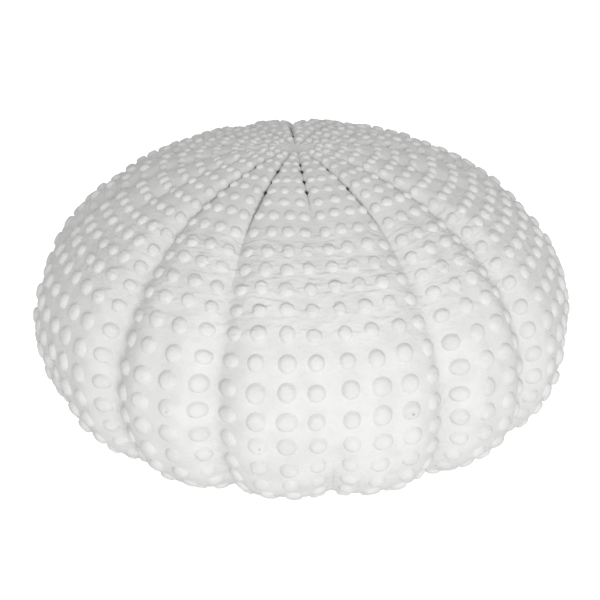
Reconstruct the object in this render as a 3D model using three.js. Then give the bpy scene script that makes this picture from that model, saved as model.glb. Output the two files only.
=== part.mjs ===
// A sea urchin shell, bare of its spines: a low dome of fifteen bulges, ten of them joined in pairs as broad
// lobes and five standing alone as narrow lobes, with furrows between them that run from a small closed disc
// at the top over the side to the mouth below. Every bulge carries round knobs, in rows that run level around
// the shell. It rests on a narrow flat ring around the shallow closed dish of the mouth.
// Millimetres, +Z up, the origin at the middle of the resting plane, the seam of a broad lobe facing -Y.

import * as THREE from 'three';
import { mergeVertices } from 'three/addons/utils/BufferGeometryUtils.js';

// The dome's profile
const widestRadius = 74;           // from the axis to the skin of a lobe at its widest
const crownHeight = 48;            // from the widest level up to the top
const footDepth = 30;              // from the widest level down to the resting plane
const crownFullness = 0.91;        // under 1 fills the shoulder of the dome out
const sideTurn = 0.52;             // how the side turns in below the widest level
const footTurn = 1.03;             // how it flattens towards the foot
const topSink = 0.8;               // how far the top disc lies under the crown of the lobes
const discRadius = 4.2;            // the smooth disc that closes the top
const ringOuterRadius = 28;        // the flat ring that the shell rests on
const ringInnerRadius = 20;
const mouthFloorRadius = 12;       // the closed mouth, dished above the resting plane
const mouthDepth = 3;

// The bulges
const bulgeCount = 15;             // each third one is a narrow lobe, the other two make a broad lobe
const bulgesPerSeam = 3;           // each third edge between bulges is a seam, the others are furrows
const stepsPerBulge = 8;           // points across a bulge, where knobs and the ground between them take turns
const stepCount = bulgeCount * stepsPerBulge;
const wallShare = 0.62;            // the share of a half bulge that falls away to its edge
const wallBend = 2.2;              // over 1 keeps the bulge round and narrows the bottom of the furrow

// Rows of knobs: how far each lies from the middle of the top, along the skin, and its knobs across a bulge
const knobRows = [
  { distance: 6.3, across: 1 },
  { distance: 8.9, across: 1 },
  { distance: 12.7, across: 2 },
  { distance: 16.8, across: 2 },
  { distance: 22, across: 3 },
  { distance: 27, across: 3 },
  { distance: 31.9, across: 3 },
  { distance: 37.3, across: 4 },
  { distance: 43.4, across: 4 },
  { distance: 49.5, across: 4 },
  { distance: 55, across: 4 },
  { distance: 60.6, across: 4 },
  { distance: 66.3, across: 4 },
  { distance: 72.7, across: 4 },
  { distance: 79.7, across: 4 },
  { distance: 86.9, across: 4 },
  { distance: 94.2, across: 4 },
  { distance: 101.2, across: 4 },
  { distance: 108.2, across: 4 },
  { distance: 115.1, across: 4 },
  { distance: 121.9, across: 4 },
  { distance: 128.6, across: 4 },
];

// Depths and heights at distances from the middle of the top, with straight runs between them
const furrowDepths = [[4.2, 0.2], [12.7, 1], [37, 1.9], [60, 2.8], [86, 3.9], [122, 3.9], [135, 1.6], [150, 0]];
const seamDepths = [[4.2, 0.2], [12.7, 0.9], [37, 1.1], [50, 0.4], [60, 0.2], [97, 0.2], [115, 2.4], [150, 0]];
const knobHeights = [[6.3, 0.6], [12.7, 0.9], [37, 1.4], [60, 1.7], [86, 1.9], [122, 1.6], [150, 0.7]];
const topSinks = [[4.2, topSink], [10, 0.2], [14, 0]];
const pitDepth = 1;                // of the small pits in furrows and seams beside the upper rows of knobs
const pitDistances = [10, 30];      // from the middle of the top
const knobClearance = 0.45;        // a knob near the foot stands out by no more than this share of its height
const lastRingGap = 3.3;           // from the lowest row of knobs to the last ring of points
const mergeDistance = 1e-3;

// One point of the profile above the widest level, by an angle from the top, 0, to that level, a quarter turn
function crownPoint(angle) {
  return new THREE.Vector2(
    widestRadius * Math.sin(angle) ** crownFullness,
    footDepth + crownHeight * Math.cos(angle),
  );
}

// One point of the profile below it, from the widest level, 0, to the edge of the flat ring, a quarter turn
function footPoint(angle) {
  return new THREE.Vector2(
    ringOuterRadius + (widestRadius - ringOuterRadius) * Math.cos(angle) ** sideTurn,
    footDepth * (1 - Math.sin(angle) ** footTurn),
  );
}

// The profile from the top to the edge of the flat ring, with the distance along it at every point
function measuredProfile() {
  const pointsPerQuarter = 300;
  const quarter = Math.PI / 2;
  const points = [];
  for (let i = 0; i <= pointsPerQuarter; i += 1) {
    points.push(crownPoint((quarter * i) / pointsPerQuarter));
  }
  for (let i = 1; i < pointsPerQuarter; i += 1) {
    points.push(footPoint((quarter * i) / pointsPerQuarter));
  }
  points.push(new THREE.Vector2(ringOuterRadius, 0));
  const distances = [0];
  for (let i = 1; i < points.length; i += 1) {
    distances.push(distances[i - 1] + points[i].distanceTo(points[i - 1]));
  }
  return { points, distances };
}

const profile = measuredProfile();

// The smooth skin at a distance from the top: its place in the profile and the direction that points outward
function skinAt(distance) {
  const { points, distances } = profile;
  let i = 1;
  while (i < distances.length - 1 && distances[i] < distance) {
    i += 1;
  }
  const share = (distance - distances[i - 1]) / (distances[i] - distances[i - 1]);
  const along = points[i].clone().sub(points[i - 1]).normalize();
  return {
    place: points[i - 1].clone().lerp(points[i], share),
    outward: new THREE.Vector2(-along.y, along.x),
  };
}

// The value at a distance, from a list of distances and values
function valueAt(distance, list) {
  let [lastDistance, lastValue] = list[0];
  for (const [nextDistance, nextValue] of list) {
    if (distance < nextDistance) {
      const share = (distance - lastDistance) / (nextDistance - lastDistance);
      return lastValue + Math.max(0, share) * (nextValue - lastValue);
    }
    [lastDistance, lastValue] = [nextDistance, nextValue];
  }
  return lastValue;
}

// The rings of points around the shell, from the edge of the top disc to the lowest row of knobs and past it.
// A ring has twice as many places across a bulge as it has knobs, and steps that share a place fall together.
function knobRings() {
  const rings = [{ distance: discRadius, places: 2, hasKnobs: false }];
  knobRows.forEach(({ distance, across }, i) => {
    if (i > 0) {
      const before = knobRows[i - 1];
      rings.push({
        distance: (before.distance + distance) / 2,
        places: 2 * before.across,
        hasKnobs: false,
      });
    }
    rings.push({ distance, places: 2 * across, hasKnobs: true });
  });
  const lowest = knobRows[knobRows.length - 1];
  rings.push({ distance: lowest.distance + lastRingGap, places: 2 * lowest.across, hasKnobs: false });
  return rings;
}

const rings = knobRings();

// Which of a ring's own places a step lands on, and whether a knob stands there
function placeOf(ring, step) {
  return Math.round(((step % stepsPerBulge) * ring.places) / stepsPerBulge);
}

function isKnob(ring, step) {
  return ring.hasKnobs && placeOf(ring, step) % 2 === 1;
}

// How far the skin lies under the bulges' crowns at a ring and step
function hollowDepth(ring, step) {
  const across = placeOf(ring, step) / ring.places;
  const bulge = Math.floor(step / stepsPerBulge);
  const nearestEdge = across < 0.5 ? bulge : bulge + 1;
  const fromMiddle = Math.abs(across - 0.5) * 2;
  const fall = Math.max(0, (fromMiddle - 1 + wallShare) / wallShare) ** wallBend;
  const isSeam = nearestEdge % bulgesPerSeam === 0;
  const depth = valueAt(ring.distance, isSeam ? seamDepths : furrowDepths);
  const hasPits = ring.hasKnobs && ring.distance > pitDistances[0] && ring.distance < pitDistances[1];
  const pit = hasPits && fromMiddle === 1 ? pitDepth : 0;
  return depth * fall + pit + valueAt(ring.distance, topSinks);
}

// The outer surface at a ring and step: the skin, sunk at the edges of the bulges and raised to the knobs' tops
function surfacePoint(ring, step) {
  const { place, outward } = skinAt(ring.distance);
  let lift = -hollowDepth(ring, step);
  if (isKnob(ring, step)) {
    lift += Math.min(valueAt(ring.distance, knobHeights), knobClearance * place.y);
  }
  const bulge = Math.floor(step / stepsPerBulge);
  const angle = ((bulge + placeOf(ring, step) / ring.places) / bulgeCount) * 2 * Math.PI;
  const radius = place.x + outward.x * lift;
  return new THREE.Vector3(radius * Math.sin(angle), -radius * Math.cos(angle), place.y + outward.y * lift);
}

// The outline of the mouth and the flat ring, from the axis outward
const mouthOutline = [
  new THREE.Vector2(0, mouthDepth),
  new THREE.Vector2(mouthFloorRadius, mouthDepth),
  new THREE.Vector2(ringInnerRadius, 0),
  new THREE.Vector2(ringOuterRadius, 0),
];

// The ring of the skin that a row of the whole outline belongs to, or none for the mouth and the top's middle
function ringOfRow(row) {
  return rings[mouthOutline.length + rings.length - 1 - row];
}

// A lathe turned from the whole outline, from the mouth's middle round the outside to the top's middle, whose
// points are then moved onto the knobbed surface
function turnedShell() {
  const outline = [...mouthOutline];
  for (let i = rings.length - 1; i >= 0; i -= 1) {
    outline.push(skinAt(rings[i].distance).place);
  }
  outline.push(new THREE.Vector2(0, footDepth + crownHeight - topSink));
  const geometry = new THREE.LatheGeometry(outline, stepCount);
  const position = geometry.attributes.position;
  for (let step = 0; step <= stepCount; step += 1) {
    for (let row = 0; row < outline.length; row += 1) {
      const index = step * outline.length + row;
      const ring = ringOfRow(row);
      if (ring) {
        const point = surfacePoint(ring, step % stepCount);
        position.setXYZ(index, point.x, point.y, point.z);
      } else {
        position.setXYZ(index, position.getX(index), -position.getZ(index), position.getY(index));
      }
    }
  }
  geometry.setIndex(shellTriangles(outline.length));
  return geometry;
}

// Two triangles to each four points, split so that a knob's top is a corner of as few of them as it can be,
// which makes every knob a four-sided point with level ground around it
function shellTriangles(rowCount) {
  const isKnobAt = (row, step) => {
    const ring = ringOfRow(row);
    return ring !== undefined && isKnob(ring, step % stepCount);
  };
  const triangles = [];
  for (let step = 0; step < stepCount; step += 1) {
    for (let row = 0; row < rowCount - 1; row += 1) {
      const a = step * rowCount + row;
      const b = a + rowCount;
      const c = b + 1;
      const d = a + 1;
      if (isKnobAt(row, step) || isKnobAt(row + 1, step + 1)) {
        triangles.push(a, b, d, c, d, b);
      } else {
        triangles.push(a, b, c, a, c, d);
      }
    }
  }
  return triangles;
}

// The points that fell together become one, and the triangles that this leaves without area go
function closedBody(geometry) {
  geometry.deleteAttribute('normal');
  geometry.deleteAttribute('uv');
  const merged = mergeVertices(geometry, mergeDistance);
  const corners = merged.index.array;
  const kept = [];
  for (let i = 0; i < corners.length; i += 3) {
    const [a, b, c] = corners.slice(i, i + 3);
    if (a !== b && b !== c && c !== a) {
      kept.push(a, b, c);
    }
  }
  merged.setIndex(kept);
  merged.computeVertexNormals();
  return merged;
}

const castPlaster = new THREE.MeshStandardMaterial({ color: '#e9e8e5', roughness: 0.7, metalness: 0 });

const shell = new THREE.Mesh(closedBody(turnedShell()), castPlaster);
shell.name = 'sea_urchin_shell';

const seaUrchin = new THREE.Group();
seaUrchin.add(shell);

export default seaUrchin;
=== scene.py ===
# The looks of a sea urchin shell cast in matte white plaster: the fine relief of its skin with its knobs,
# furrows, pits and mouth, its material, and a pale studio stage. Shapes are worked out in millimetres.

import bisect
import math
import random
from collections import namedtuple

import bmesh
import bpy
from bpy.props import FloatProperty, FloatVectorProperty, PointerProperty
from mathutils import Matrix, Vector, noise


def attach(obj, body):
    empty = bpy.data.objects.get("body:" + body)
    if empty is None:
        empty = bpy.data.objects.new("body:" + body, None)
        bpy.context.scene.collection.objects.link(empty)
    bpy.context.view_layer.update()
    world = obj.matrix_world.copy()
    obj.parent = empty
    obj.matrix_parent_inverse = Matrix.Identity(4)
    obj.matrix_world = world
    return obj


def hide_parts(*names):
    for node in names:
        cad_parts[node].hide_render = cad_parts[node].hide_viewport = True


bl_info = {
    "name": "Sea urchin shell",
    "version": (1, 0, 0),
    "blender": (4, 5, 0),
    "location": "View3D > Sidebar > Sea urchin",
    "description": "Makes a cast sea urchin shell with its knobs, furrows and mouth, and a studio stage",
    "category": "Mesh",
}

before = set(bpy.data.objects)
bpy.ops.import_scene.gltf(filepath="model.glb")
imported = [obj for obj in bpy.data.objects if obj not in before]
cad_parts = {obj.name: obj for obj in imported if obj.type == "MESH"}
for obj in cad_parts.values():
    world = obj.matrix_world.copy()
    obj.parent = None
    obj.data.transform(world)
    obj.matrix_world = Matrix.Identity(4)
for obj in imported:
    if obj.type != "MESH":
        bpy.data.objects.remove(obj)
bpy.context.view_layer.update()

NODE = "sea_urchin_shell"
MM = 0.001

# The dome's profile, in millimetres
WIDEST_RADIUS = 74         # from the axis to the skin of a lobe at its widest
CROWN_HEIGHT = 48          # from the widest level up to the top
FOOT_DEPTH = 30            # from the widest level down to the resting plane
CROWN_FULLNESS = 0.94      # under 1 fills the shoulder of the dome out
CROWN_FALL = 1.02          # over 1 lowers the shoulder
SIDE_TURN = 0.49           # how the side turns in below the widest level
FOOT_TURN = 0.94           # how it flattens towards the foot
DISC_RADIUS = 4.2          # the smooth disc that closes the top
RING_OUTER_RADIUS = 28     # the flat ring that the shell rests on
RING_INNER_RADIUS = 20
MOUTH_FLOOR_RADIUS = 12    # the closed mouth, dished above the resting plane
MOUTH_DEPTH = 3

# The bulges
BULGES = 15                # each third one is a narrow lobe, the other two make a broad lobe
BULGES_PER_SEAM = 3        # each third edge between bulges is a seam, the others are furrows
BULGE_ANGLE = 2 * math.pi / BULGES

# How the cast strays from an even dome
LEAN = (-0.9, -1.2)        # how far its top leans, sideways and forward
LEAN_BEND = 1.5            # over 1 keeps the lean to the upper part
SLUMP = 1                  # how far its side below the widest level sags sideways
TWIST = 10                 # how far its top is twisted at the back, in degrees
TWIST_REACH = (25, 75)     # the distances from the middle of the top between which the twist fades
STRAY_AT_FOOT = 0.5        # how far furrows and knobs wander around the axis, in degrees
STRAY_AT_TOP = 1.6         # how much further they wander at the top
STRAY_FADE = 25            # how far from the top that lessens to about a third
STRAY_TURNS = 1.6          # a higher value makes it change its way more often around the shell
STRAY_LENGTH = 30          # how far it runs down the shell before it changes its way
SWELL_WIDTH = 6            # the swells of the ground, around the shell and up it
SWELL_RISE = 5
SWELL_LEVELS = (1, 9)      # the heights between which swells fade in above the resting plane

# Rows of knobs: the distance from the middle of the top along the skin, and the knobs across a bulge
KNOB_ROWS = [
    (6.3, 1), (8.9, 1), (12.7, 2), (16.8, 2), (22, 3), (27, 3), (31.9, 3), (37.3, 4), (43.4, 4), (49.5, 4),
    (55, 4), (60.6, 4), (66.3, 4), (72.7, 4), (79.7, 4), (86.9, 4), (94.2, 4), (101.2, 4), (108.2, 4),
    (115.1, 4), (121.9, 4), (128.6, 4), (135.2, 4), (141.6, 4),
]
LAST_ROW = len(KNOB_ROWS) - 1
FIRST_ROW_TOP = 5          # where the first row of cells begins, a cell being the square of skin at a knob
LAST_ROW_FOOT = 145        # where the last row ends
CELL_STEPS = 8             # quads across and down a cell
CELL_HALF = CELL_STEPS // 2
BAND_GAP = 0.25            # half the gap that is bridged where the number of knobs across changes
DISC_RINGS = (0, 1, 1.8, 2.6, 3.4, DISC_RADIUS)
FOOT_RINGS = (146.5, 148.2)    # more rings of points on the way to the flat ring
MERGE_DISTANCE = 0.001
RING_EDGE_STEP = 1         # from the edge of the flat ring to the first ring of points on it
MOUTH_SLOPE_RINGS = 4      # rings of points down the slope of the dish
MOUTH_FLOOR_SHARES = (0.5, 0)  # and on its floor, as shares of its radius
MOUTH_NOTCHES = 10
NOTCH_DEPTH = 0.8
NOTCH_SHARPNESS = 9

# At distances from the middle of the top: shares of the depth of furrows, seams and crevices and of the
# height and width of knobs, how far the top disc is sunk in millimetres, the share of a half bulge that
# falls away to its edge, and how that bends, over 1 keeping the bulge round and the furrow narrow
FURROW_SHARES = [(2.6, 0), (5.5, 0.06), (12.7, 0.14), (22, 0.22), (37, 0.38), (60, 0.7), (86, 1.05),
                 (118, 1), (132, 0.45), (150, 0)]
SEAM_SHARES = [(2.6, 0), (5.5, 0.06), (12.7, 0.2), (37, 0.4), (50, 0.17), (60, 0.08), (92, 0.1), (108, 1),
               (118, 1.15), (131, 0.5), (150, 0)]
CREVICE_SHARES = [(1.4, 0), (3, 0.6), (20, 0.8), (35, 0.9), (46, 0.6), (62, 0)]
SEAM_CREVICE_SHARES = [(1.4, 0), (3, 0.6), (28, 0.7), (40, 0.4), (50, 0), (98, 0), (110, 0.35), (118, 0.55),
                       (128, 0.4), (142, 0)]
CREVICE_ROOM = 0.22        # the largest share of a bulge that half a crevice takes, close to the top
CREVICE_LEAST = 0.01       # and the width that it has at the very middle of the top
CREVICE_FOOT = 62          # below this distance the bottoms of furrows are soft
KNOB_HEIGHT_SHARES = [(6.3, 0.56), (12.7, 0.42), (22, 0.56), (37, 0.72), (60, 0.8), (80, 0.95), (100, 1),
                      (108, 0.97), (116, 0.88), (124, 0.7), (145, 0.35)]
KNOB_WIDTH_SHARES = [(6.3, 0.46), (22, 0.5), (37, 0.6), (55, 0.72), (66, 0.78), (72.7, 0.84), (79.7, 0.93),
                     (86.9, 1.03), (101, 1.03), (108, 0.95), (115, 0.92), (128, 0.84), (145, 0.6)]
TOP_SINKS = [(0, 0.75), (1.4, 0.75), (2.6, 0.5), (10, 0.15), (14, 0)]
WALL_SHARES = [(20, 0.75), (60, 0.62)]
WALL_BENDS = [(20, 3), (60, 1.9)]
VALLEY_BEND = 1.4          # over 1 rounds the bottom of a furrow
PIT_ROWS = (10, 30)        # the distances between which rows have pits in the furrows and seams
PIT_ABOVE_ROW = 0.7        # how far towards the top from its row a pit lies
PIT_LENGTH = 2.2           # of a pit down the furrow, for each millimetre across
PIT_REACH = 3              # how many radii from its middle a pit has ended
PIT_SHADE = 1              # how much painted shade shows at the bottom of a pit
CREVICE_SHADE = 0.48       # and at the bottom of a crevice
KNOB_CLEARANCE = 0.45      # a knob near the foot stands out by no more than this share of how high it sits

# The rings of a knob, from its middle out: the share of its radius and of its height
KNOB_RINGS = [(0, 1), (0.5, 0.97), (0.8, 0.72), (1, 0)]
KNOB_FOOT = len(KNOB_RINGS) - 1
CELL_FILL = 0.84           # the largest share of a cell that its knob takes
EDGE_KNOB_SIZE = 0.93      # the knobs beside a furrow or seam, against the others
EDGE_KNOB_SHIFT = 0.1      # and how far they stand from it, as a share of their radius
KNOB_STRAY = 0.15          # how far knobs stray from their even places, as a share of their radius
KNOB_SIZES = (0.95, 1.05)  # the smallest and the largest, against an even one
KNOB_HEIGHTS = (0.85, 1.12)
KNOB_OVALS = (0.93, 1.06)  # how much wider than high
SEED = 15                  # of the random draws

# Casting pinholes in knobs: how far they lie from a knob's middle at most, as shares of its radius, the
# height of their rim as a share of the knob's, and how deep they are for their radius
PINHOLE_ASIDE = 0.3
PINHOLE_BELOW = 0.35
PINHOLE_RIM = 0.95
PINHOLE_DEPTH = 3
# Each one's row, by its distance, the angle in degrees and the radius in millimetres
PINHOLES = [
    (101.2, -15, 0.26), (94.2, 15, 0.35), (94.2, 21, 0.4), (60.6, 39, 0.3), (94.2, -33, 0.2),
    (60.6, 33, 0.2), (94.2, -63, 0.2), (86.9, 135, 0.3), (72.7, 171, 0.25), (108.2, 201, 0.3),
    (66.3, 249, 0.25),
]

# Patterns in the plaster, in millimetres
CLOUD_SIZE = 7
GRAIN_SIZE = 0.7
GRAIN_HEIGHT = 0.12
WRINKLE_SIZE = 1.5
WRINKLE_HEIGHT = 0.15
LEDGE_SIZE = 1.9
LEDGE_HEIGHT = 0.22
LEDGES_BEGIN = (38, 50)    # the distances from the middle of the top between which ledges fade in
LEDGES_END = (68, 80)      # and between which they fade
LEDGES_LEFT = 0.25         # to this share of their height

# The stage, in millimetres and degrees
FLOOR_SIZE = 6000
CAMERA_TURN = -5.76        # around the shell, from its own front
CAMERA_RISE = 25.08        # above the level
CAMERA_DISTANCE = 453.5
CAMERA_AIM = (-0.4, 1)     # sideways and up from the middle of the shell at its widest level
CAMERA_ROLL = -0.96
CAMERA_LENS = 96
SENSOR_WIDTH = 36
KEY_TURN = 1.5             # the soft light in front, placed as the camera is
KEY_RISE = 15
KEY_DISTANCE = 1100
KEY_SIZE = 500


def linear(hex_colour):
    """The linear colour of an sRGB hex value."""
    channels = [int(hex_colour[i:i + 2], 16) / 255 for i in (1, 3, 5)]
    return tuple(c / 12.92 if c <= 0.04045 else ((c + 0.055) / 1.055) ** 2.4 for c in channels)


class UrchinSizes(bpy.types.PropertyGroup):
    """Sizes of the fine relief of the shell"""

    knob_height: FloatProperty(
        name="Knob height", description="Height of the knobs on the side above the ground around them",
        default=1.2 * MM, min=0, unit="LENGTH", precision=5,
    )
    knob_width: FloatProperty(
        name="Knob width", description="Width of the knobs on the side",
        default=5 * MM, min=0, unit="LENGTH", precision=5,
    )
    furrow_depth: FloatProperty(
        name="Furrow depth", description="Depth of the furrows beside the narrow lobes, on the side",
        default=4.2 * MM, min=0, unit="LENGTH", precision=5,
    )
    seam_depth: FloatProperty(
        name="Seam depth", description="Depth of the seam down the middle of a broad lobe, low on the side",
        default=2.4 * MM, min=0, unit="LENGTH", precision=5,
    )
    crevice_depth: FloatProperty(
        name="Crevice depth", description="Depth of the narrow crevice at the bottom of furrows and seams",
        default=0.55 * MM, min=0, unit="LENGTH", precision=5,
    )
    crevice_width: FloatProperty(
        name="Crevice half width", description="Half the width of that crevice",
        default=0.36 * MM, min=0.05 * MM, unit="LENGTH", precision=5,
    )
    pit_depth: FloatProperty(
        name="Pit depth", description="Depth of the small pits in the upper furrows and seams",
        default=0.7 * MM, min=0, unit="LENGTH", precision=5,
    )
    pit_radius: FloatProperty(
        name="Pit radius", description="Radius of those pits",
        default=0.46 * MM, min=0.05 * MM, unit="LENGTH", precision=5,
    )
    swell: FloatProperty(
        name="Swell", description="Height of the gentle unevenness of the ground",
        default=0.14 * MM, min=0, unit="LENGTH", precision=5,
    )


class UrchinLooks(bpy.types.PropertyGroup):
    """Colours and light of the shell and its stage"""

    plaster: FloatVectorProperty(
        name="Plaster", description="Colour of the plaster",
        default=linear("#E4E4E3"), min=0, max=1, subtype="COLOR", size=3,
    )
    plaster_cloud: FloatVectorProperty(
        name="Plaster clouds", description="Colour of the slightly darker clouds in the plaster",
        default=linear("#DCDCDB"), min=0, max=1, subtype="COLOR", size=3,
    )
    # painted shade: the colour that darkens the bottoms of pits, pinholes and crevices where shade falls
    pit: FloatVectorProperty(
        name="Pits", description="Colour at the bottom of pits and pinholes",
        default=linear("#4C4A48"), min=0, max=1, subtype="COLOR", size=3,
    )
    floor: FloatVectorProperty(
        name="Floor", description="Colour of the floor",
        default=linear("#F7F7F7"), min=0, max=1, subtype="COLOR", size=3,
    )
    floor_glow: FloatProperty(
        name="Floor glow", description="Light that the floor gives by itself, like a lit paper sweep",
        default=0.08, min=0, max=2,
    )
    floor_white: FloatProperty(
        name="Floor white", description="How much whiter the floor looks than the light that it gives",
        default=0.62, min=0, max=2,
    )
    surround: FloatProperty(
        name="Surround", description="Light that comes evenly from all around",
        default=0.57, min=0, max=2,
    )
    key_power: FloatProperty(
        name="Key light", description="Power of the large soft light in front",
        default=5.4, min=0, unit="POWER",
    )


def skin_profile():
    """The profile from the top to the flat ring's edge, as radii and heights, with the distance along it."""
    points_per_quarter = 400
    points = []
    for i in range(points_per_quarter + 1):
        angle = math.pi / 2 * i / points_per_quarter
        radius = WIDEST_RADIUS * math.sin(angle) ** CROWN_FULLNESS
        points.append((radius, FOOT_DEPTH + CROWN_HEIGHT * max(0, math.cos(angle)) ** CROWN_FALL))
    for i in range(1, points_per_quarter):
        angle = math.pi / 2 * i / points_per_quarter
        radius = RING_OUTER_RADIUS + (WIDEST_RADIUS - RING_OUTER_RADIUS) * math.cos(angle) ** SIDE_TURN
        points.append((radius, FOOT_DEPTH * (1 - math.sin(angle) ** FOOT_TURN)))
    points.append((RING_OUTER_RADIUS, 0))
    distances = [0]
    for (r0, z0), (r1, z1) in zip(points, points[1:]):
        distances.append(distances[-1] + math.hypot(r1 - r0, z1 - z0))
    return points, distances


PROFILE, DISTANCES = skin_profile()


def skin_at(distance):
    """The smooth skin's radius and height at a distance from the top, and its outward direction there."""
    i = min(max(bisect.bisect_left(DISTANCES, distance), 1), len(DISTANCES) - 1)
    (r0, z0), (r1, z1) = PROFILE[i - 1], PROFILE[i]
    length = DISTANCES[i] - DISTANCES[i - 1]
    share = (distance - DISTANCES[i - 1]) / length
    return r0 + share * (r1 - r0), z0 + share * (z1 - z0), (z0 - z1) / length, (r1 - r0) / length


def skin_place(angle, distance):
    """A place for the skin's patterns, in metres, with the distance from the top in place of the height."""
    radius = skin_at(distance)[0]
    return Vector((radius * math.sin(angle), -radius * math.cos(angle), distance)) * MM


def value_at(distance, places):
    """The value at a distance, eased from one to the next in a list of distances and values."""
    last_place, last_value = places[0]
    for place, value in places[1:]:
        if distance < place:
            share = max(0, (distance - last_place) / (place - last_place))
            return last_value + share * share * (3 - 2 * share) * (value - last_value)
        last_place, last_value = place, value
    return last_value


def stray_at(around, distance):
    """How far furrows and knobs stray around the axis from their even places, in degrees."""
    wander = STRAY_AT_FOOT + STRAY_AT_TOP * math.exp(-distance / STRAY_FADE)
    behind = max(0, (1 + around.y) / 2) ** 2
    start, end = TWIST_REACH
    fade = min(1, max(0, (end - distance) / (end - start)))
    where = around * STRAY_TURNS + Vector((0, 0, distance / STRAY_LENGTH))
    return wander * noise.noise(where) + TWIST * behind * fade


class Relief:
    """The ground of the shell between its knobs, with its furrows, seams, crevices, pits and swells."""

    def __init__(self, sizes):
        self.furrow_depth = sizes.furrow_depth / MM
        self.seam_depth = sizes.seam_depth / MM
        self.crevice_depth = sizes.crevice_depth / MM
        self.crevice_width = sizes.crevice_width / MM
        self.pit_depth = sizes.pit_depth / MM
        self.pit_radius = sizes.pit_radius / MM
        self.swell = sizes.swell / MM
        self.pit_distances = [row - PIT_ABOVE_ROW for row, _ in KNOB_ROWS if PIT_ROWS[0] < row < PIT_ROWS[1]]

    def from_edge(self, angle, distance):
        """How far a place is from the nearest edge of a bulge, and whether that is a seam."""
        along = angle / BULGE_ANGLE
        edge = round(along)
        return abs(along - edge) * BULGE_ANGLE * skin_at(distance)[0], edge % BULGES_PER_SEAM == 0

    def crevice_at(self, from_edge, is_seam, distance):
        """How far down a crevice a place is, from 0 outside it to 1 at its bottom."""
        share = value_at(distance, SEAM_CREVICE_SHARES if is_seam else CREVICE_SHARES)
        room = CREVICE_ROOM * BULGE_ANGLE * skin_at(distance)[0]
        width = min(self.crevice_width, room + CREVICE_LEAST)
        return share * math.exp(-(from_edge / width) ** 2)

    def pit_at(self, from_edge, distance):
        """How far down a pit a place is, from 0 outside it to 1 at its bottom."""
        if from_edge > PIT_REACH * self.pit_radius:
            return 0
        nearest = min(self.pit_distances, key=lambda row: abs(row - distance))
        away = math.hypot(from_edge, (distance - nearest) / PIT_LENGTH) / self.pit_radius
        return math.exp(-away ** 2)

    def shade_at(self, angle, distance):
        """How much painted shade shows at a place, from 0 to 1: at the bottoms of crevices and pits."""
        from_edge, is_seam = self.from_edge(angle, distance)
        in_crevice = CREVICE_SHADE * self.crevice_at(from_edge, is_seam, distance)
        return max(in_crevice, PIT_SHADE * self.pit_at(from_edge, distance))

    def depth_at(self, angle, distance):
        """How deep the ground lies under the crown of its bulge."""
        from_edge, is_seam = self.from_edge(angle, distance)
        along = angle / BULGE_ANGLE
        share_from_edge = abs(along - round(along)) * 2
        wall = value_at(distance, WALL_SHARES)
        fall = max(0, 1 - (share_from_edge / wall) ** VALLEY_BEND) ** value_at(distance, WALL_BENDS)
        if is_seam:
            depth = self.seam_depth * value_at(distance, SEAM_SHARES) * fall
        else:
            depth = self.furrow_depth * value_at(distance, FURROW_SHARES) * fall
        depth += self.crevice_depth * self.crevice_at(from_edge, is_seam, distance)
        depth += self.pit_depth * self.pit_at(from_edge, distance)
        return depth + value_at(distance, TOP_SINKS)

    def point(self, angle, distance):
        """A place on the ground, in millimetres."""
        radius, height, out_r, out_z = skin_at(distance)
        around = Vector((math.sin(angle), -math.cos(angle), 0))
        swell = noise.noise(around * radius / SWELL_WIDTH + Vector((0, 0, height / SWELL_RISE)))
        low, high = SWELL_LEVELS
        above_foot = min(1, max(0, (height - low) / (high - low)))
        lift = self.swell * swell * above_foot - self.depth_at(angle, distance)
        reach = radius + out_r * lift
        turn = angle + math.radians(stray_at(around, distance))
        lean = max(0, (height - FOOT_DEPTH) / CROWN_HEIGHT) ** LEAN_BEND
        sag = SLUMP * math.sin(math.pi * math.sqrt(min(1, max(0, height / FOOT_DEPTH))))
        return Vector((
            reach * math.sin(turn) + LEAN[0] * lean + sag,
            -reach * math.cos(turn) + LEAN[1] * lean,
            height + out_z * lift,
        ))

    def outward(self, angle, distance):
        """The direction that points straight out of the ground."""
        step = 0.6
        turn = step / skin_at(distance)[0]
        across = self.point(angle + turn, distance) - self.point(angle - turn, distance)
        down = self.point(angle, distance + step) - self.point(angle, distance - step)
        return down.cross(across).normalized()


def row_edges(row):
    """Where a row's cells begin and end, as distances from the middle of the top."""
    distance, across = KNOB_ROWS[row]
    top, foot = FIRST_ROW_TOP, LAST_ROW_FOOT
    if row > 0:
        before, across_before = KNOB_ROWS[row - 1]
        top = (before + distance) / 2 + (BAND_GAP if across_before != across else 0)
    if row < LAST_ROW:
        after, across_after = KNOB_ROWS[row + 1]
        foot = (distance + after) / 2 - (BAND_GAP if across_after != across else 0)
    return top, foot


def square_turn(u, v):
    """The turn at which a point of a square ring lands on a round one, from straight up and clockwise."""
    if u == 0 and v == 0:
        return 0
    if abs(v) >= abs(u):
        lean = math.pi / 4 * u / abs(v)
        return lean if v < 0 else math.pi - lean
    lean = math.pi / 4 * v / abs(u)
    return math.pi / 2 + lean if u > 0 else -math.pi / 2 - lean


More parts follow.
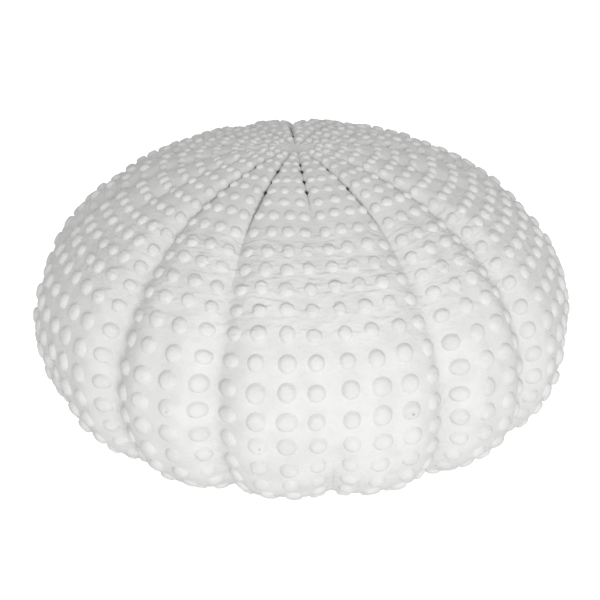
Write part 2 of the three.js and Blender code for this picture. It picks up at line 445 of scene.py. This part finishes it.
class Cell:
    """One square of the skin with its knob."""

    def __init__(self, relief, sizes, row, column, draw):
        self.relief = relief
        self.distance, across = KNOB_ROWS[row]
        self.top, self.foot = row_edges(row)
        self.half_angle = BULGE_ANGLE / across / 2
        self.middle_angle = (2 * column + 1) * self.half_angle
        skin_radius, height, _, _ = skin_at(self.distance)
        room = min(self.half_angle * skin_radius, (self.foot - self.top) / 2)
        first, last = column % across == 0, column % across == across - 1
        beside_edge = across > 1 and (first or last)
        widest = sizes.knob_width / 2 / MM * value_at(self.distance, KNOB_WIDTH_SHARES)
        size = draw.uniform(*KNOB_SIZES) * (EDGE_KNOB_SIZE if beside_edge else 1)
        self.radius = min(widest * size, CELL_FILL * room)
        highest = sizes.knob_height / MM * value_at(self.distance, KNOB_HEIGHT_SHARES)
        self.height = min(highest * draw.uniform(*KNOB_HEIGHTS), KNOB_CLEARANCE * height)
        stray = KNOB_STRAY * self.radius
        self.aside = draw.uniform(-stray, stray)
        self.below = draw.uniform(-stray, stray)
        if beside_edge:
            self.aside += EDGE_KNOB_SHIFT * self.radius * (1 if first else -1)
        self.oval = draw.uniform(*KNOB_OVALS)
        self.outward = relief.outward(self.middle_angle, self.distance)
        self.pinhole = self.find_pinhole()
        self.pinhole_aside = draw.uniform(-PINHOLE_ASIDE, PINHOLE_ASIDE) * self.radius
        self.pinhole_below = draw.uniform(0, PINHOLE_BELOW) * self.radius

    def find_pinhole(self):
        """The radius of the pinhole in this knob, or 0."""
        for distance, degrees, radius in PINHOLES:
            apart = (degrees - math.degrees(self.middle_angle) + 180) % 360 - 180
            if distance == self.distance and abs(apart) < 1:
                return radius
        return 0

    def place(self, u, v):
        """The angle, distance, rise and shade of the point u steps across and v steps down."""
        ring = max(abs(u), abs(v))
        if ring == CELL_HALF:
            edge = self.foot if v > 0 else self.top
            distance = self.distance + (edge - self.distance) * abs(v) / CELL_HALF
            angle = self.middle_angle + u / CELL_HALF * self.half_angle
            return angle, distance, 0, self.relief.shade_at(angle, distance)
        reach, rise = KNOB_RINGS[ring]
        reach *= self.radius
        rise *= self.height
        aside, below, shade = self.aside, self.below, 0
        if self.pinhole and ring < 2:
            aside += self.pinhole_aside
            below += self.pinhole_below
            reach = self.pinhole * ring
            rise = self.height * PINHOLE_RIM - PINHOLE_DEPTH * self.pinhole * (1 - ring)
            # the middle of a pinhole gets painted shade, fading out towards its rim
            shade = 1 - ring
        turn = square_turn(u, v)
        aside += reach * math.sin(turn) * self.oval
        distance = self.distance + below - reach * math.cos(turn) / self.oval
        return self.middle_angle + aside / skin_at(distance)[0], distance, rise, shade


# A ring of points around the shell: how many, its radius and height before the relief is worked in, its
# distance from the middle of the top, and its row of knobs and steps down from them, where it has these
Ring = namedtuple("Ring", "steps radius height distance row down", defaults=(None, None, None))


def skin_ring(steps, distance, row=None, down=None):
    """A ring of points on the smooth skin."""
    radius, height, _, _ = skin_at(distance)
    return Ring(steps, radius, height, distance, row, down)


def row_rings(row, first_step):
    """The rings of points of a row of cells, from its top edge or the step after it to its foot."""
    distance, across = KNOB_ROWS[row]
    top, foot = row_edges(row)
    rings = []
    for down in range(first_step, CELL_HALF + 1):
        edge = foot if down > 0 else top
        place = distance + (edge - distance) * abs(down) / CELL_HALF
        rings.append(skin_ring(BULGES * across * CELL_STEPS, place, row, down))
    return rings


def shell_bands():
    """All rings of the shell, from the top's middle to the mouth's middle, in bands of equal steps."""
    bands = [[skin_ring(BULGES * CELL_STEPS, distance) for distance in DISC_RINGS]]
    for row, (_, across) in enumerate(KNOB_ROWS):
        steps = BULGES * across * CELL_STEPS
        new_band = steps != bands[-1][-1].steps
        if new_band:
            bands.append([])
        starts_at_edge = new_band or row == 0
        bands[-1] += row_rings(row, -CELL_HALF if starts_at_edge else 1 - CELL_HALF)
    steps = bands[-1][-1].steps
    bands[-1] += [skin_ring(steps, distance) for distance in (*FOOT_RINGS, DISTANCES[-1])]
    bands[-1] += [Ring(steps, RING_OUTER_RADIUS - RING_EDGE_STEP, 0), Ring(steps, RING_INNER_RADIUS, 0)]
    for i in range(1, MOUTH_SLOPE_RINGS + 1):
        share = i / MOUTH_SLOPE_RINGS
        radius = RING_INNER_RADIUS + (MOUTH_FLOOR_RADIUS - RING_INNER_RADIUS) * share
        bands[-1].append(Ring(steps, radius, MOUTH_DEPTH * math.sin(share * math.pi / 2)))
    bands[-1] += [Ring(steps, MOUTH_FLOOR_RADIUS * share, MOUTH_DEPTH) for share in MOUTH_FLOOR_SHARES]
    return bands


def spin_band(mesh, band, layer, first_number):
    """Turns a chain of points into a band of one bulge, and repeats that around the axis."""
    chain = []
    for number, ring in enumerate(band):
        vertex = mesh.verts.new((0, -ring.radius, ring.height))
        vertex[layer] = first_number + number
        chain.append(vertex)
    edges = [mesh.edges.new(pair) for pair in zip(chain, chain[1:])]
    axis = {"cent": (0, 0, 0), "axis": (0, 0, 1), "dvec": (0, 0, 0)}
    bmesh.ops.spin(mesh, geom=chain + edges, angle=BULGE_ANGLE, steps=band[0].steps // BULGES, **axis)
    verts = [vertex for vertex in mesh.verts if vertex[layer] >= first_number]
    edges = {edge for vertex in verts for edge in vertex.link_edges}
    faces = {face for vertex in verts for face in vertex.link_faces}
    others = BULGES - 1
    bmesh.ops.spin(
        mesh, geom=[*verts, *edges, *faces], angle=BULGE_ANGLE * others, steps=others,
        use_duplicate=True, **axis,
    )


def bridge_bands(mesh, layer, upper_number):
    """Joins the last ring of a band to the first of the next one."""
    numbers = (upper_number, upper_number + 1)
    edges = []
    for edge in mesh.edges:
        first, second = (vertex[layer] for vertex in edge.verts)
        if first == second and first in numbers:
            edges.append(edge)
    bmesh.ops.bridge_loops(mesh, edges=edges)


def mouth_point(vertex, ring):
    """A place of the mouth, with notches around its edge as a shell has for its gills."""
    angle = math.atan2(vertex.co.x, -vertex.co.y)
    notch = abs(math.cos(MOUTH_NOTCHES * angle / 2)) ** NOTCH_SHARPNESS
    across = (ring.radius - MOUTH_FLOOR_RADIUS) / (RING_INNER_RADIUS - MOUTH_FLOOR_RADIUS)
    on_slope = math.sin(math.pi * min(1, max(0, across)))
    return vertex.co + Vector((0, 0, NOTCH_DEPTH * notch * on_slope))


def build_shell(sizes):
    """The whole shell as one closed mesh."""
    draw = random.Random(SEED)
    relief = Relief(sizes)
    cells = []
    for row, (_, across) in enumerate(KNOB_ROWS):
        cells.append([Cell(relief, sizes, row, column, draw) for column in range(BULGES * across)])

    mesh = bmesh.new()
    ring_layer = mesh.verts.layers.int.new("ring")
    # the attribute pit holds how much painted shade shows at each point: in crevices, pits and pinholes
    shade_layer = mesh.verts.layers.float.new("pit")
    skin_layer = mesh.verts.layers.float_vector.new("skin_place")
    rings = []
    band_ends = []
    for band in shell_bands():
        spin_band(mesh, band, ring_layer, len(rings))
        rings += band
        band_ends.append(len(rings) - 1)
    bmesh.ops.remove_doubles(mesh, verts=mesh.verts, dist=MERGE_DISTANCE)
    for number in band_ends[:-1]:
        bridge_bands(mesh, ring_layer, number)

    knob_feet = set()
    crevice_bottoms = set()
    for vertex in mesh.verts:
        ring = rings[vertex[ring_layer]]
        if ring.distance is None:
            past_skin = DISTANCES[-1] + RING_OUTER_RADIUS - ring.radius
            vertex[skin_layer] = Vector((vertex.co.x, vertex.co.y, past_skin)) * MM
            vertex.co = mouth_point(vertex, ring)
            continue
        turn = math.atan2(vertex.co.x, -vertex.co.y) / (2 * math.pi)
        step = round(turn * ring.steps) % ring.steps
        if ring.row is None:
            angle = 2 * math.pi * step / ring.steps
            vertex[skin_layer] = skin_place(angle, ring.distance)
            vertex[shade_layer] = relief.shade_at(angle, ring.distance)
            vertex.co = relief.point(angle, ring.distance)
            continue
        across = step % CELL_STEPS - CELL_HALF
        cell = cells[ring.row][step // CELL_STEPS]
        angle, distance, rise, vertex[shade_layer] = cell.place(across, ring.down)
        vertex[skin_layer] = skin_place(angle, distance)
        vertex.co = relief.point(angle, distance) + cell.outward * rise
        if max(abs(across), abs(ring.down)) == KNOB_FOOT:
            knob_feet.add(vertex)
        if step % (ring.steps // BULGES) == 0 and ring.distance < CREVICE_FOOT:
            crevice_bottoms.add(vertex)
    for edge in mesh.edges:
        ends = set(edge.verts)
        edge.smooth = not (ends <= knob_feet or ends <= crevice_bottoms)
    for face in mesh.faces:
        face.smooth = True
    bmesh.ops.scale(mesh, vec=(MM, MM, MM), verts=mesh.verts)
    bmesh.ops.recalc_face_normals(mesh, faces=mesh.faces)
    return mesh


def add_node(tree, kind, settings=None, values=None, links=None):
    """Adds a node with its settings, the values of its inputs, and what is linked to its inputs."""
    node = tree.nodes.new(kind)
    for name, setting in (settings or {}).items():
        setattr(node, name, setting)
    for name, value in (values or {}).items():
        node.inputs[name].default_value = value
    for name, source in (links or {}).items():
        tree.links.new(source, node.inputs[name])
    return node


def per_metre(size_mm):
    """The scale that gives a pattern features of a size in millimetres."""
    return 1 / (size_mm * MM)


def cast_plaster(looks):
    """Plaster poured in a mould and left bare: quite matte, white, faintly cloudy, with a fine dry grain,
    and with shade painted darker into its pits, pinholes and crevices.
    """
    material = bpy.data.materials.new("cast_plaster")
    material.use_nodes = True
    tree = material.node_tree
    tree.nodes.clear()
    place = add_node(tree, "ShaderNodeTexCoord").outputs["Object"]
    skin = add_node(tree, "ShaderNodeAttribute", {"attribute_name": "skin_place"}).outputs["Vector"]
    # how much painted shade shows at each point, as the mesh holds it
    pit = add_node(tree, "ShaderNodeAttribute", {"attribute_name": "pit"}).outputs["Fac"]

    # Clouds a few millimetres wide, from plaster that dried unevenly
    clouds = add_node(
        tree, "ShaderNodeTexNoise", values={"Scale": per_metre(CLOUD_SIZE), "Detail": 4, "Roughness": 0.6},
        links={"Vector": place},
    )
    cloud_share = add_node(
        tree, "ShaderNodeMapRange", values={"From Min": 0.4, "From Max": 0.65},
        links={"Value": clouds.outputs["Fac"]},
    )
    base = add_node(
        tree, "ShaderNodeMix", {"data_type": "RGBA"},
        {"A": (*looks.plaster, 1), "B": (*looks.plaster_cloud, 1)},
        {"Factor": cloud_share.outputs["Result"]},
    )
    # Painted shade at the bottoms of pits, pinholes and crevices, dark right up to their rims
    painted_shade_share = add_node(
        tree, "ShaderNodeMapRange", {"interpolation_type": "SMOOTHSTEP"},
        {"From Min": 0.15, "From Max": 0.6}, {"Value": pit},
    )
    colour = add_node(
        tree, "ShaderNodeMix", {"data_type": "RGBA"}, {"B": (*looks.pit, 1)},
        {"Factor": painted_shade_share.outputs["Result"], "A": base.outputs["Result"]},
    )

    # The dry grain of plaster is finer than this, and is drawn as coarse as it needs to show
    grain = add_node(
        tree, "ShaderNodeTexNoise", values={"Scale": per_metre(GRAIN_SIZE), "Detail": 3, "Roughness": 0.6},
        links={"Vector": place},
    )
    # Low wrinkles that run level around the shell, twice as long as they are high
    stretched = add_node(
        tree, "ShaderNodeMapping", values={"Scale": (0.5, 0.5, 1)}, links={"Vector": skin},
    )
    wrinkles = add_node(
        tree, "ShaderNodeTexNoise", values={"Scale": per_metre(WRINKLE_SIZE), "Detail": 2, "Roughness": 0.5},
        links={"Vector": stretched.outputs["Vector"]},
    )
    wrinkled = add_node(
        tree, "ShaderNodeBump", values={"Strength": 1, "Distance": WRINKLE_HEIGHT * MM},
        links={"Height": wrinkles.outputs["Fac"]},
    )
    # Short ledges, stretched in the same way and highest on the shoulder of the dome
    ledges = add_node(
        tree, "ShaderNodeTexNoise", values={"Scale": per_metre(LEDGE_SIZE), "Detail": 1, "Roughness": 0.5},
        links={"Vector": stretched.outputs["Vector"]},
    )
    ledge_edges = add_node(
        tree, "ShaderNodeMapRange", {"interpolation_type": "SMOOTHSTEP"},
        {"From Min": 0.36, "From Max": 0.74}, {"Value": ledges.outputs["Fac"]},
    )
    down = add_node(tree, "ShaderNodeSeparateXYZ", links={"Vector": skin}).outputs["Z"]
    below_top = add_node(
        tree, "ShaderNodeMapRange", {"interpolation_type": "SMOOTHSTEP"},
        {"From Min": LEDGES_BEGIN[0] * MM, "From Max": LEDGES_BEGIN[1] * MM}, {"Value": down},
    )
    above_side = add_node(
        tree, "ShaderNodeMapRange", {"interpolation_type": "SMOOTHSTEP"},
        {
            "From Min": LEDGES_END[0] * MM, "From Max": LEDGES_END[1] * MM,
            "To Min": 1, "To Max": LEDGES_LEFT,
        },
        {"Value": down},
    )
    where = add_node(
        tree, "ShaderNodeMath", {"operation": "MULTIPLY"},
        links={0: below_top.outputs["Result"], 1: above_side.outputs["Result"]},
    )
    ledge_height = add_node(
        tree, "ShaderNodeMath", {"operation": "MULTIPLY"},
        links={0: ledge_edges.outputs["Result"], 1: where.outputs["Value"]},
    )
    ledged = add_node(
        tree, "ShaderNodeBump", values={"Strength": 1, "Distance": LEDGE_HEIGHT * MM},
        links={"Height": ledge_height.outputs["Value"], "Normal": wrinkled.outputs["Normal"]},
    )
    grained = add_node(
        tree, "ShaderNodeBump", values={"Strength": 1, "Distance": GRAIN_HEIGHT * MM},
        links={"Height": grain.outputs["Fac"], "Normal": ledged.outputs["Normal"]},
    )
    shader = add_node(
        tree, "ShaderNodeBsdfPrincipled", values={"Roughness": 0.78, "IOR": 1.5, "Specular IOR Level": 0.3},
        links={"Base Color": colour.outputs["Result"], "Normal": grained.outputs["Normal"]},
    )
    add_node(tree, "ShaderNodeOutputMaterial", links={"Surface": shader.outputs["BSDF"]})
    return material


def sweep_paper(looks):
    """White background paper, which looks whiter than the light that it throws back on the shell."""
    material = bpy.data.materials.new("sweep_paper")
    material.use_nodes = True
    tree = material.node_tree
    tree.nodes.clear()
    seen = add_node(tree, "ShaderNodeLightPath").outputs["Is Camera Ray"]
    glow = add_node(
        tree, "ShaderNodeMath", {"operation": "MULTIPLY_ADD"},
        {1: looks.floor_white, 2: looks.floor_glow}, {0: seen},
    )
    shader = add_node(
        tree, "ShaderNodeBsdfPrincipled",
        values={
            "Base Color": (*looks.floor, 1), "Roughness": 0.9, "Specular IOR Level": 0.2,
            "Emission Color": (1, 1, 1, 1),
        },
        links={"Emission Strength": glow.outputs["Value"]},
    )
    add_node(tree, "ShaderNodeOutputMaterial", links={"Surface": shader.outputs["BSDF"]})
    return material


def mesh_object(name, mesh, material):
    """An object of a bmesh, which is freed."""
    data = bpy.data.meshes.new(name)
    mesh.to_mesh(data)
    mesh.free()
    data.materials.append(material)
    piece = bpy.data.objects.new(name, data)
    bpy.context.scene.collection.objects.link(piece)
    return piece


def facing(turn, rise):
    """Directions sideways, up and back for what looks at the shell from a turn and a rise in degrees."""
    turn, rise = math.radians(turn), math.radians(rise)
    back = Vector((math.sin(turn) * math.cos(rise), -math.cos(turn) * math.cos(rise), math.sin(rise)))
    sideways = Vector((math.cos(turn), math.sin(turn), 0))
    return sideways, back.cross(sideways), back


def placed(sideways, up, back, location):
    """The matrix of something with those directions at a place in metres."""
    turned = Matrix((sideways, up, back)).transposed().to_4x4()
    return Matrix.Translation(location) @ turned


class MakeShell(bpy.types.Operator):
    """Make the cast shell in place of its plain solid"""

    bl_idname = "object.make_urchin_shell"
    bl_label = "Make shell"
    bl_options = {"REGISTER", "UNDO"}

    def execute(self, context):
        mesh = build_shell(context.scene.urchin_sizes)
        shell = mesh_object("urchin_shell", mesh, cast_plaster(context.scene.urchin_looks))
        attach(shell, "root")
        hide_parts(NODE)
        return {"FINISHED"}


class SetStage(bpy.types.Operator):
    """Lay the floor and set the light and the camera"""

    bl_idname = "object.set_urchin_stage"
    bl_label = "Set stage"
    bl_options = {"REGISTER", "UNDO"}

    def execute(self, context):
        scene = context.scene
        looks = scene.urchin_looks
        mesh = bmesh.new()
        bmesh.ops.create_grid(mesh, x_segments=1, y_segments=1, size=FLOOR_SIZE / 2 * MM)
        floor = mesh_object("floor", mesh, sweep_paper(looks))

        world = bpy.data.worlds.new("surround")
        world.use_nodes = True
        surround = world.node_tree.nodes["Background"]
        surround.inputs["Color"].default_value = (1, 1, 1, 1)
        surround.inputs["Strength"].default_value = looks.surround
        scene.world = world

        middle = Vector((0, 0, FOOT_DEPTH * MM))
        key_data = bpy.data.lights.new("key_light", "AREA")
        key_data.shape = "DISK"
        key_data.size = KEY_SIZE * MM
        key_data.energy = looks.key_power
        key = bpy.data.objects.new("key_light", key_data)
        sideways, up, back = facing(KEY_TURN, KEY_RISE)
        key.matrix_world = placed(sideways, up, back, middle + back * KEY_DISTANCE * MM)
        scene.collection.objects.link(key)

        camera_data = bpy.data.cameras.new("camera")
        camera_data.lens = CAMERA_LENS
        camera_data.sensor_width = SENSOR_WIDTH
        camera = bpy.data.objects.new("camera", camera_data)
        sideways, up, back = facing(CAMERA_TURN, CAMERA_RISE)
        aside, above = CAMERA_AIM
        place = middle + (back * CAMERA_DISTANCE + sideways * aside + up * above) * MM
        roll = Matrix.Rotation(math.radians(CAMERA_ROLL), 4, "Z")
        camera.matrix_world = placed(sideways, up, back, place) @ roll
        scene.collection.objects.link(camera)
        scene.camera = camera
        scene.view_settings.view_transform = "Standard"
        return {"FINISHED"}


class URCHIN_PT_panel(bpy.types.Panel):
    """Sizes and colours of the shell, and the buttons that make it"""

    bl_label = "Sea urchin"
    bl_space_type = "VIEW_3D"
    bl_region_type = "UI"
    bl_category = "Sea urchin"

    def draw(self, context):
        for group in (context.scene.urchin_sizes, context.scene.urchin_looks):
            for name in group.bl_rna.properties.keys():
                if name not in ("rna_type", "name"):
                    self.layout.prop(group, name)
        self.layout.operator(MakeShell.bl_idname)
        self.layout.operator(SetStage.bl_idname)


CLASSES = (UrchinSizes, UrchinLooks, MakeShell, SetStage, URCHIN_PT_panel)


def register():
    for one_class in CLASSES:
        bpy.utils.register_class(one_class)
    bpy.types.Scene.urchin_sizes = PointerProperty(type=UrchinSizes)
    bpy.types.Scene.urchin_looks = PointerProperty(type=UrchinLooks)


def unregister():
    del bpy.types.Scene.urchin_looks
    del bpy.types.Scene.urchin_sizes
    for one_class in reversed(CLASSES):
        bpy.utils.unregister_class(one_class)


def main():
    register()
    bpy.ops.object.make_urchin_shell()
    bpy.ops.object.set_urchin_stage()


if __name__ == "__main__":
    main()
